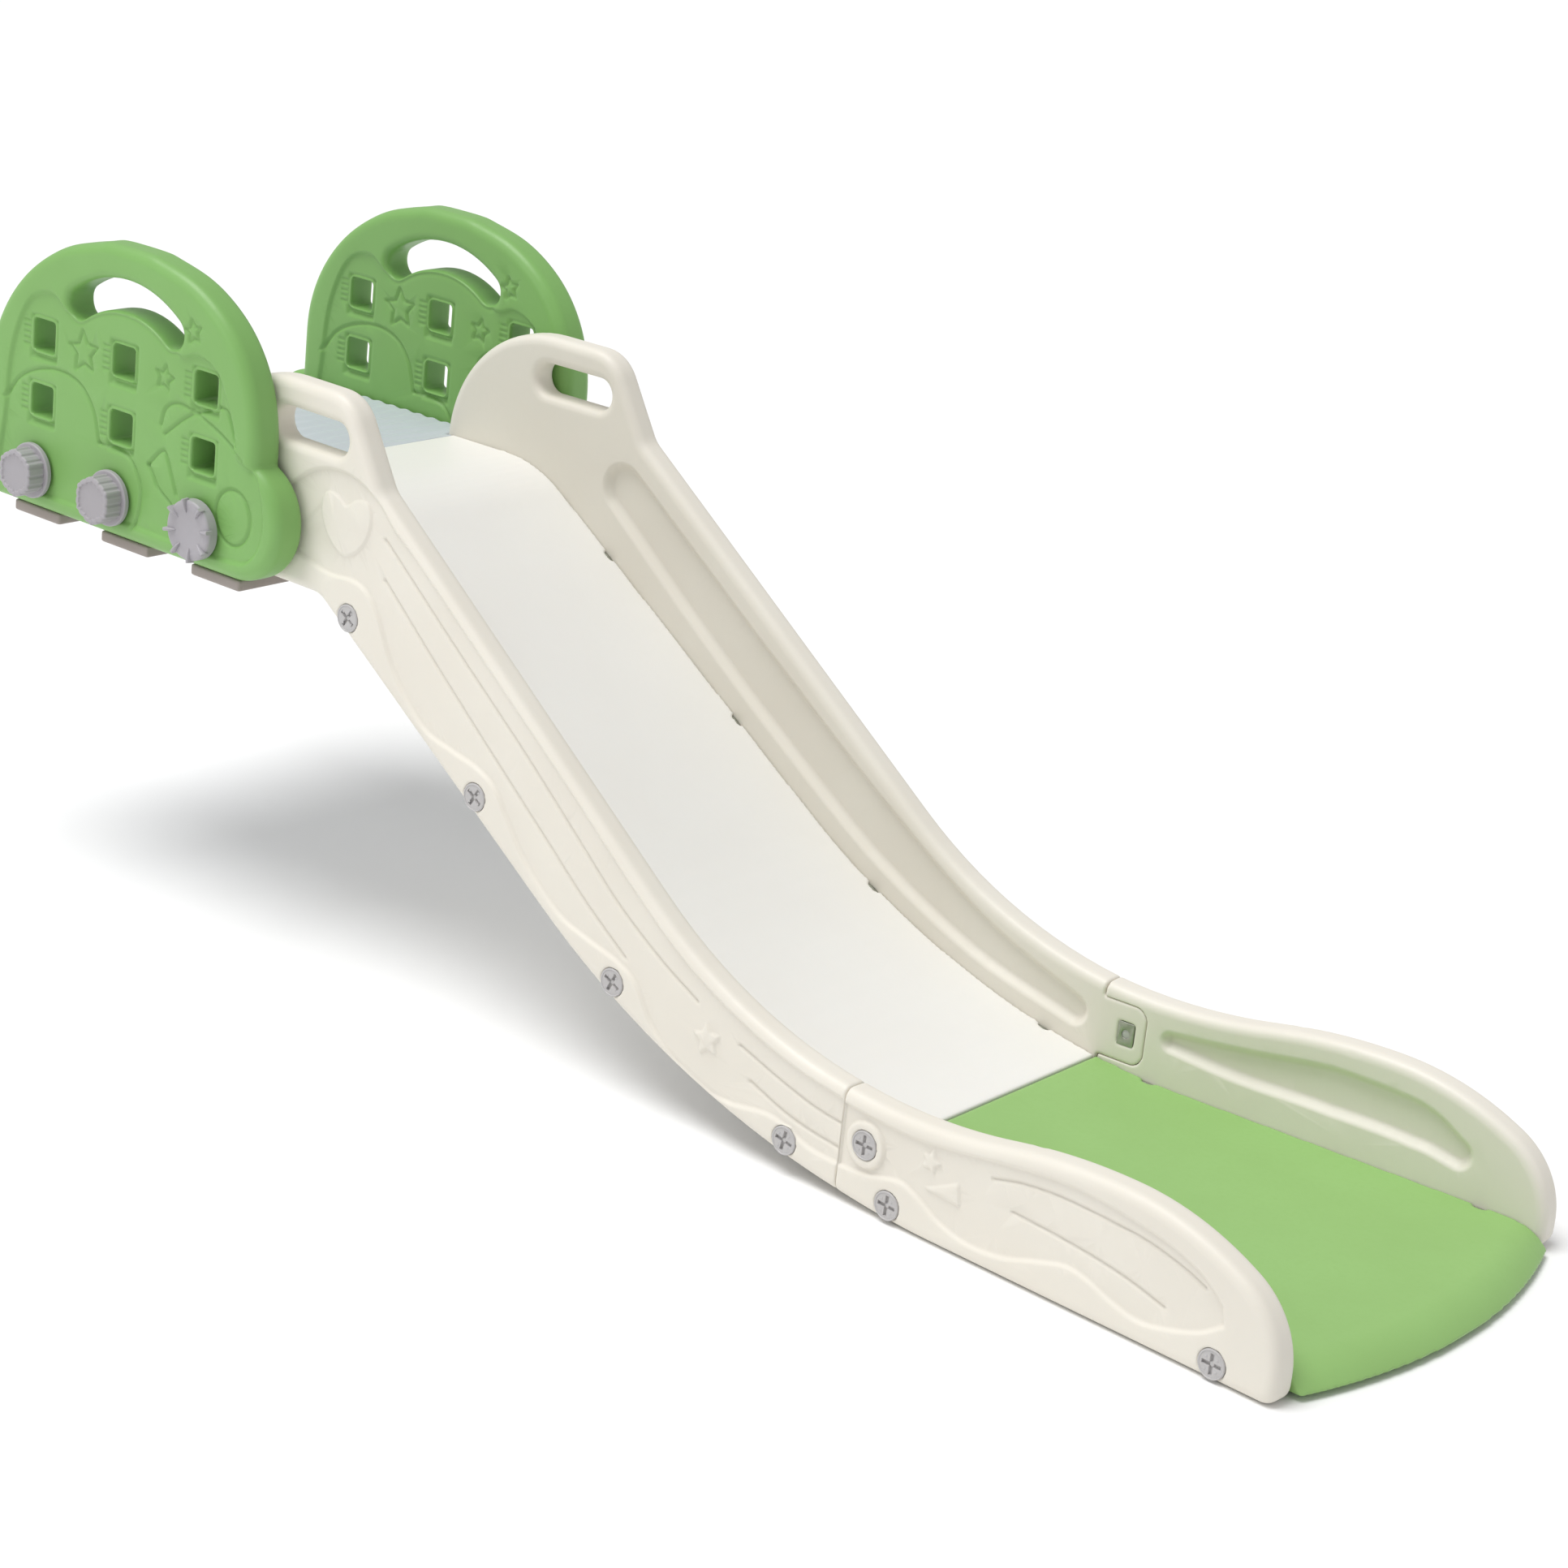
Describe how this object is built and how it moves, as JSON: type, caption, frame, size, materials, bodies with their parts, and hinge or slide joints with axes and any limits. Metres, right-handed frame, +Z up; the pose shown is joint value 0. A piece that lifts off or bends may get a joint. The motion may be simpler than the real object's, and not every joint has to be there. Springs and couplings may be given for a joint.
{
  "type": "child's wave slide",
  "caption": "Two-part child's slide with waved side rails, a green run-out board with a rolled lip, and a raised deck between two domed guard panels with windows, hand holes and hand knobs.",
  "frame": {"origin": "on the floor at the middle of the slide's length and width", "axes": "+X runs downhill towards the lip, +Y towards the far side rail, +Z up"},
  "size_m": [1.754, 0.5406, 0.674],
  "materials": {
    "ivory": "satin moulded polyethylene",
    "leaf_green": "satin moulded polyethylene",
    "pale_grey": "satin moulded polyethylene",
    "light_grey": "satin moulded plastic",
    "warm_grey": "satin moulded plastic",
    "screw_grey": "satin moulded plastic",
    "nut_steel": "zinc-plated"
  },
  "bodies": {
    "slide": {"deck": "pale_grey", "upper_slide_board": "ivory", "lower_slide_board": "leaf_green", "near_upper_rail": "ivory", "near_lower_rail": "ivory", "near_guard_panel": "leaf_green", "near_brackets": "warm_grey", "near_upper_rail_screws": "screw_grey", "near_lower_rail_screws": "screw_grey", "near_joint_screw": "screw_grey", "near_joint_nut": "nut_steel", "far_upper_rail": "ivory", "far_lower_rail": "ivory", "far_guard_panel": "leaf_green", "far_brackets": "warm_grey", "far_upper_rail_screws": "screw_grey", "far_lower_rail_screws": "screw_grey", "far_joint_screw": "screw_grey", "far_joint_nut": "nut_steel", "upper_board_nuts": "nut_steel", "lower_board_nuts": "nut_steel"},
    "near_rear_knob": {"near_rear_knob": "light_grey"},
    "near_middle_knob": {"near_middle_knob": "light_grey"},
    "near_front_dial": {"near_front_dial": "light_grey"},
    "far_rear_knob": {"far_rear_knob": "light_grey"},
    "far_middle_knob": {"far_middle_knob": "light_grey"},
    "far_front_dial": {"far_front_dial": "light_grey"}
  },
  "joints": [
    {"name": "near_rear_knob_turn", "type": "hinge", "parent": "slide", "child": "near_rear_knob", "pos_m": [-0.76, -0.245, 0.416], "axis": [0, -1, 0], "range_deg": [0, 360]},
    {"name": "near_middle_knob_turn", "type": "hinge", "parent": "slide", "child": "near_middle_knob", "pos_m": [-0.64, -0.245, 0.416], "axis": [0, -1, 0], "range_deg": [0, 360]},
    {"name": "near_front_dial_turn", "type": "hinge", "parent": "slide", "child": "near_front_dial", "pos_m": [-0.51, -0.245, 0.416], "axis": [0, -1, 0], "range_deg": [0, 360]},
    {"name": "far_rear_knob_turn", "type": "hinge", "parent": "slide", "child": "far_rear_knob", "pos_m": [-0.76, 0.245, 0.416], "axis": [0, 1, 0], "range_deg": [0, 360]},
    {"name": "far_middle_knob_turn", "type": "hinge", "parent": "slide", "child": "far_middle_knob", "pos_m": [-0.64, 0.245, 0.416], "axis": [0, 1, 0], "range_deg": [0, 360]},
    {"name": "far_front_dial_turn", "type": "hinge", "parent": "slide", "child": "far_front_dial", "pos_m": [-0.51, 0.245, 0.416], "axis": [0, 1, 0], "range_deg": [0, 360]}
  ]
}
